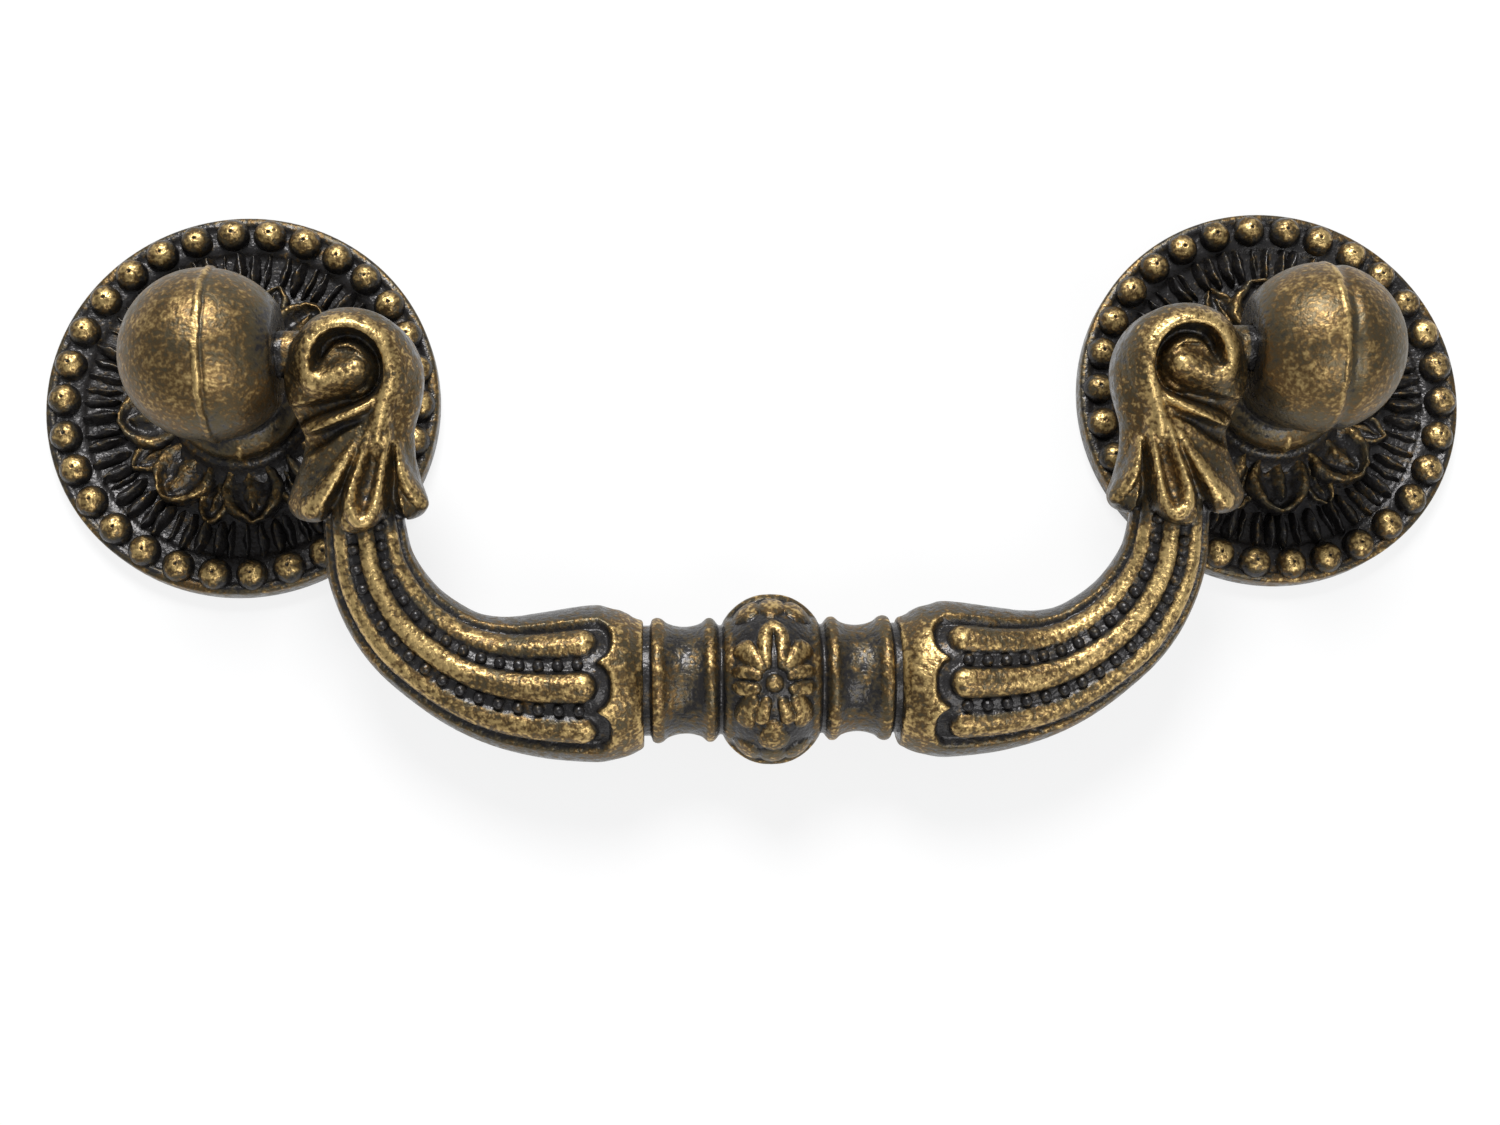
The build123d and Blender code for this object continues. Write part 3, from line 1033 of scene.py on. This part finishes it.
def head_field(across, up, out):
    """Scroll and leaf with their carving on the front."""
    plan_x, plan_y = across[:, :, 0], up[:, :, 0]
    middle, half_width, half_depth = (np.interp(up, BELL[:, 0], BELL[:, column]) for column in (1, 2, 3))
    bell = (np.hypot((across - middle) / half_width, out / half_depth) - 1) * half_depth
    bell = np.maximum(-blend(-bell, up - hem_height(across), HEM_ROUND), up - BELL_TOP)
    reach = np.hypot(across - SCROLL_CENTRE[0], up - SCROLL_CENTRE[1]) - (SCROLL_RADIUS - SCROLL_EDGE)
    depth = np.abs(out) - (SCROLL_HALF_DEPTH - SCROLL_EDGE)
    scroll = np.hypot(np.maximum(reach, 0), np.maximum(depth, 0)) - SCROLL_EDGE
    scroll = scroll + np.minimum(np.maximum(reach, depth), 0)
    ridges = np.max([stroke(rows, plan_x, plan_y, power) for rows, power, _ in RIDGES], axis=0)
    grooves = np.max([stroke(rows, plan_x, plan_y) for rows in GROOVES], axis=0)
    carving = ridges - grooves + stroke(GROOVE_LIP, plan_x, plan_y)
    return blend(bell, scroll, HEAD_BLEND) - carving[:, :, None] * smooth_step(*CARVED_FRONT, out)


CAST_STEP = 0.2
CAST_BOX = ((10.8, 46.9), (-37.0, 5.0), (-8.0, 8.6))
across, up, out = np.ix_(*(np.arange(low, high, CAST_STEP) for low, high in CAST_BOX))
plan_across, plan_up = np.broadcast_arrays(across, up)
arm = arm_field(plan_across, plan_up, out)
head = head_field(plan_across, plan_up, out)
pin = np.maximum(np.hypot(up, out) - PIN_RADIUS, np.maximum(across - PIN_END, SCROLL_CENTRE[0] - across))
cast = np.minimum(np.minimum(arm, head), pin)
arm_points, arm_quads = skin(cast, [low for low, _ in CAST_BOX], CAST_STEP)

# Wear of the arms: on the flats, for each millimetre that a spot stands proud, and on crest, lip and collar;
# painted shade along the leaf's hem and on the sides turned away from the front
HEAD_WEAR, HEAD_PROUD = 0.44, 0.8
REED_WEAR, REED_PROUD = 0.35, 1.95
CREST_WEAR = 0.2
CREST_PLATEAU = 0.25
LIP_WEAR = 0.3
LIP_REACH = 0.4
COLLAR_WEAR = 0.06
HEM_PAINTED_SHADE = 0.6
BORDER_SHADE = 0.45
SIDE_PAINTED_SHADE = 0.5
proud = standing_proud(arm_points, arm_quads, PROUD_ROUNDS)
facing = vertex_normals(arm_points, arm_quads)[:, 2]
spot_x, spot_y, spot_out = arm_points.T


def gap_from(rows):
    """Distance of the arm's points from a carved line, seen from the front."""
    return nearest_on(smooth_line(rows, STROKE_STEPS), spot_x, spot_y)[0]


crest = np.max(
    [smooth_step(rubbed, CREST_PLATEAU * rubbed, gap_from(rows)) for rows, _, rubbed in RIDGES], axis=0
)
lip = np.clip(1 - gap_from(GROOVE_LIP) / LIP_REACH, 0, 1) * (spot_out > 0)
head_wear_and_shade = HEAD_WEAR + HEAD_PROUD * proud + CREST_WEAR * crest * smooth_step(0.8, 2.2, spot_out)
head_wear_and_shade = np.maximum(head_wear_and_shade, LIP_WEAR * lip)
# Painted shade along the lower edge of the leaf's side lobes
near_hem = smooth_step(1.3, 0.2, spot_y - hem_height(spot_x))
off_middle = smooth_step(1.2, 2.4, np.abs(spot_x - HEM_LOBES[1][0]))
head_wear_and_shade = head_wear_and_shade * (1 - HEM_PAINTED_SHADE * (near_hem * off_middle))
arm_radius, arm_reach, arm_angle = arm_frame(spot_x, spot_y, spot_out)
arm_size = reed_size(arm_radius)
raised = smooth_step(-0.8, -0.25, (arm_reach - arm_radius) / arm_size)
border = smooth_step(48.0, 55.0, np.abs(arm_angle)) * smooth_step(13.0, 15.0, spot_x)
collar = smooth_step(15.0, 14.0, spot_x)
reed_worn = REED_WEAR + REED_PROUD * proud / arm_size + COLLAR_WEAR * collar
reed_worn = reed_worn * raised * (1 - BORDER_SHADE * border)
on_head = smooth_step(-15.4, -14.8, spot_y) * smooth_step(25.5, 26.5, spot_x)
arm_wear_and_shade = reed_worn + (head_wear_and_shade - reed_worn) * on_head
# Painted shade: darker on the sides that face away from the bail's front
arm_wear_and_shade = arm_wear_and_shade * (1 - SIDE_PAINTED_SHADE + SIDE_PAINTED_SHADE * smooth_step(0.0, 0.65, facing))
# The pin is left dark
arm_wear_and_shade = np.clip(arm_wear_and_shade, 0, 1) * smooth_step(41.6, 41.2, spot_x)
for side, sign in SIDES:
    points = bail_to_row(arm_points * (sign, 1, 1))
    quads = arm_quads if sign > 0 else arm_quads[:, ::-1]
    piece = make_object(f"bail_{side}_arm", points, quads.tolist(), arm_wear_and_shade, bail_brass, outward=False)
    finish_piece(piece, "bail", "bail")

# Knot and turned necks: distance from the middle and radius
NECK_PROFILE = smooth_line(
    [
        (0.0, 7.5),
        (1.0, 7.42),
        (2.0, 7.1),
        (2.9, 6.55),
        (3.6, 5.9),
        (4.05, 5.3),
        (4.3, 4.85),
        (4.6, 4.85),
        (4.85, 5.15),
        (5.15, 5.42),
        (5.6, 5.42),
        (6.1, 5.02),
        (6.8, 4.78),
        (7.6, 4.7),
        (8.4, 4.8),
        (9.1, 5.05),
        (9.55, 5.4),
        (10.0, 5.52),
        (10.4, 5.35),
        (10.6, 4.9),
        (11.0, 4.85),
        (12.0, 4.85),
    ],
    steps=6,
)
# Right half of the knot's flower: along the knot, round it, half width and height
FLOWER_LOBES = (
    [(0.72, 1.6, 0.5, 0.5), (0.8, 3.2, 0.62, 0.55), (0.62, 4.7, 0.65, 0.55), (0.0, 5.3, 0.65, 0.55)],
    [(1.15, 1.4, 0.5, 0.5), (1.95, 2.4, 0.78, 0.55), (2.55, 3.3, 0.92, 0.55)],
    [(1.5, 0.7, 0.5, 0.5), (2.4, 1.0, 0.66, 0.55), (3.0, 1.1, 0.66, 0.55)],
    [(1.7, -0.5, 0.55, 0.5), (2.9, -0.5, 0.76, 0.55)],
    [(2.0, -1.6, 0.72, 0.5), (2.5, -2.7, 0.82, 0.55), (2.55, -3.6, 0.92, 0.55)],
    [(0.75, -1.7, 0.52, 0.5), (1.15, -3.1, 0.7, 0.55)],
    [(0.0, -4.2, 0.9, 0.5), (0.0, -5.0, 1.35, 0.55), (0.0, -5.4, 1.45, 0.55)],
)
FLOWER_BOSS = 0.8
FLOWER_SINK = 0.55
FLOWER_STRETCH = 1.08
FLOWER_RISE = 0.55
CAP_CENTRE = 8.9
CAP_LOBES = (-2.2, 0.0, 2.2)
CAP_HALF_LENGTH = 1.25
CAP_HALF_WIDTH = 1.9
CAP_RISE = 0.5
# Where the carving fades out, round the knot and along it
CARVED_ROUND = (11.4, 10.6)
CARVED_ALONG = (4.2, 3.2)
# Dark grooves beside the knot and at the horns
KNOT_GROOVE = 4.45
KNOT_GROOVE_HALF = 0.3
HORN_GROOVE = (10.3, 10.6)
NECK_WEAR, NECK_PROUD = 0.28, 2.8
FLOWER_WEAR, FLOWER_PROUD = 0.05, 0.66
NECK_TURNS = 360
FINE_HALF = 4.0
FINE_STATIONS = 81


def knot_flower(across, round_):
    """Raised flower on the knot's front, from distances along and round the knot."""
    aside = np.abs(across)
    lobes = [stroke(rows, aside, round_, 0.4) for rows in FLOWER_LOBES]
    boss = np.hypot(across, round_) / FLOWER_BOSS
    return np.max([*lobes, FLOWER_RISE * np.clip(1 - boss**2, 0, 1) ** 0.5], axis=0)


def cap_leaves(across, round_, centre):
    """Three low lobes on the knot's upper and lower sides."""
    lobes = [
        np.hypot((across - middle) / CAP_HALF_LENGTH, (round_ - centre) / CAP_HALF_WIDTH)
        for middle in CAP_LOBES
    ]
    return CAP_RISE * np.clip(1 - np.min(lobes, axis=0) ** 2, 0, 1) ** 0.5


half_x, half_r = NECK_PROFILE.T
whole_x = np.concatenate((-half_x[:0:-1], half_x))
whole_r = np.concatenate((half_r[:0:-1], half_r))
fine = np.linspace(-FINE_HALF, FINE_HALF, FINE_STATIONS)
stations = np.unique(np.round(np.concatenate((whole_x, fine)), 4))
base_radius = np.interp(stations, whole_x, whole_r)
angle = np.linspace(-pi, pi, NECK_TURNS, endpoint=False)
along, round_ = np.meshgrid(stations, angle * KNOT_RADIUS, indexing="ij")
round_ = round_ + radians(FACING) * KNOT_RADIUS
relief = knot_flower(along, round_ / FLOWER_STRETCH)
for centre in (CAP_CENTRE, -CAP_CENTRE):
    relief = np.maximum(relief, cap_leaves(along, round_, centre))
carved = smooth_step(*CARVED_ROUND, np.abs(round_)) * smooth_step(*CARVED_ALONG, np.abs(along))
relief = (relief - FLOWER_SINK) * carved
radius = np.minimum(base_radius[:, None] + relief, KNOT_RADIUS)
points = np.stack((along, -BAIL_DROP + radius * np.sin(angle), radius * np.cos(angle)), axis=-1)
points = points.reshape(-1, 3)
quads = grid_quads(len(stations), NECK_TURNS, False)[:, ::-1]
neck_worn = NECK_WEAR + NECK_PROUD * standing_proud(points, quads, PROUD_ROUNDS)
flower_worn = FLOWER_WEAR + FLOWER_PROUD * (1 + relief.reshape(-1) / FLOWER_SINK)
knot_worn = neck_worn + (flower_worn - neck_worn) * carved.reshape(-1)
from_middle = np.abs(points[:, 0])
grooved = np.exp(-(((from_middle - KNOT_GROOVE) / KNOT_GROOVE_HALF) ** 2))
grooved = grooved + smooth_step(*HORN_GROOVE, from_middle)
knot_worn = np.clip(knot_worn * (1 - grooved), 0, 1)
ends = [list(range(NECK_TURNS)), list(range(len(points) - NECK_TURNS, len(points)))]
knot = make_object("bail_knot", bail_to_row(points), [*quads.tolist(), *ends], knot_worn, bail_brass)
finish_piece(knot, "bail", "bail")

# Bead strings in the grooves of the horns
GROOVE_ANGLE = REED_PITCH / 2
STRING_START = 16.6
STRING_END = -14.5
STRING_LIFT = 0.1
STRING_BEAD_RADIUS = 0.55
STRING_SPACING = 1.65
STRING_WEAR = 0.06


def groove_line(turn):
    """Bottom of a groove at an angle from the ornament's middle."""
    line = ARM_LINE[np.argmax(ARM_LINE[:, 0] > STRING_START) :]
    line = line[line[:, 1] < STRING_END]
    heading = np.gradient(line[:, :2], axis=0)
    heading /= np.linalg.norm(heading, axis=1, keepdims=True)
    outward = np.column_stack((heading[:, 1], -heading[:, 0]))
    deep = line[:, 2] - REED_DEPTH * reed_size(line[:, 2]) + STRING_LIFT
    lean = np.radians(turn * spread(line[:, 2]) + FACING)
    return np.column_stack((line[:, :2] + outward * (deep * np.sin(lean))[:, None], deep * np.cos(lean)))


string_points, string_edges = [], []
for sign in (-1, 1):
    for turn in (-GROOVE_ANGLE, GROOVE_ANGLE):
        line = bail_to_row(groove_line(turn) * (sign, 1, 1)) * MM
        first = len(string_points)
        string_points += line.tolist()
        string_edges += [(first + index, first + index + 1) for index in range(len(line) - 1)]
string_mesh = bpy.data.meshes.new("bail_bead_strings")
string_mesh.from_pydata(string_points, string_edges, [])
strings = add_object("bail_bead_strings", string_mesh)
grow(
    strings,
    string_tree(),
    bead_radius=STRING_BEAD_RADIUS * MM,
    spacing=STRING_SPACING * MM,
    wear=STRING_WEAR,
    finish=bail_brass,
)
settle(strings)
finish_piece(strings, "bail", "bail")

# Floor, light and camera
FLOOR_HALF = 2.0
FLOOR_DROP = 2e-5
floor_signs = ((-1, -1), (1, -1), (1, 1), (-1, 1))
floor_corners = [(x * FLOOR_HALF, y * FLOOR_HALF, -FLOOR_DROP) for x, y in floor_signs]
floor_mesh = bpy.data.meshes.new("floor")
floor_mesh.from_pydata(floor_corners, [], [(0, 1, 2, 3)])
floor = add_object("floor", floor_mesh)
paper = bpy.data.materials.new("white_paper")
paper.use_nodes = True
paper.node_tree.nodes.clear()
start = Wire(paper.node_tree)
camera_ray = start.node("ShaderNodeLightPath", output="Is Camera Ray")
glossy_ray = start.node("ShaderNodeLightPath", output="Is Glossy Ray")
seen = start.math("MAXIMUM", camera_ray, glossy_ray)
lit = start.node("ShaderNodeBsdfDiffuse", None, {"Color": (0.9, 0.9, 0.9, 1)})
glow = start.node("ShaderNodeEmission", None, {"Color": (1, 1, 1, 1), "Strength": 1.0})
paper_shader = start.node("ShaderNodeMixShader", None, {0: seen * 0.8, 1: lit, 2: glow})
start.node("ShaderNodeOutputMaterial", None, {"Surface": paper_shader})
floor_mesh.materials.append(paper)

world = bpy.data.worlds.new("studio")
world.use_nodes = True
sky = world.node_tree.nodes["Background"]
sky.inputs["Color"].default_value = (0.80, 0.82, 0.86, 1)
sky.inputs["Strength"].default_value = 0.37
bpy.context.scene.world = world


def soft_light(name, place, target, size, power):
    lamp = bpy.data.lights.new(name, "AREA")
    lamp.shape = "DISK"
    lamp.size = size
    lamp.energy = power
    aim = (Vector(target) - Vector(place)).to_track_quat("-Z", "Y")
    add_object(name, lamp).matrix_world = Matrix.Translation(place) @ aim.to_matrix().to_4x4()


soft_light("window", (-0.05, 0.30, 0.42), (0, 0, 0), 0.22, 2.8)
soft_light("front", (0.15, -0.35, 0.40), (0, 0, 0), 0.35, 1.2)

CAMERA_PLACE = (-0.0095, -0.0520, 0.1887)
CAMERA_VIEW = (0.0427, 0.1916, -0.9805)
CAMERA_UP = (0.0108, 0.9813, 0.1922)
camera_data = bpy.data.cameras.new("camera")
camera_data.lens = 49.62
camera_data.sensor_width = 36.0
camera_data.clip_start = 0.005
camera = add_object("camera", camera_data)
view = Vector(CAMERA_VIEW).normalized()
right = view.cross(Vector(CAMERA_UP)).normalized()
above = right.cross(view)
camera_turn = Matrix((right, above, -view)).transposed().to_4x4()
camera.matrix_world = Matrix.Translation(CAMERA_PLACE) @ camera_turn
bpy.context.scene.camera = camera
bpy.context.scene.view_settings.view_transform = "Standard"
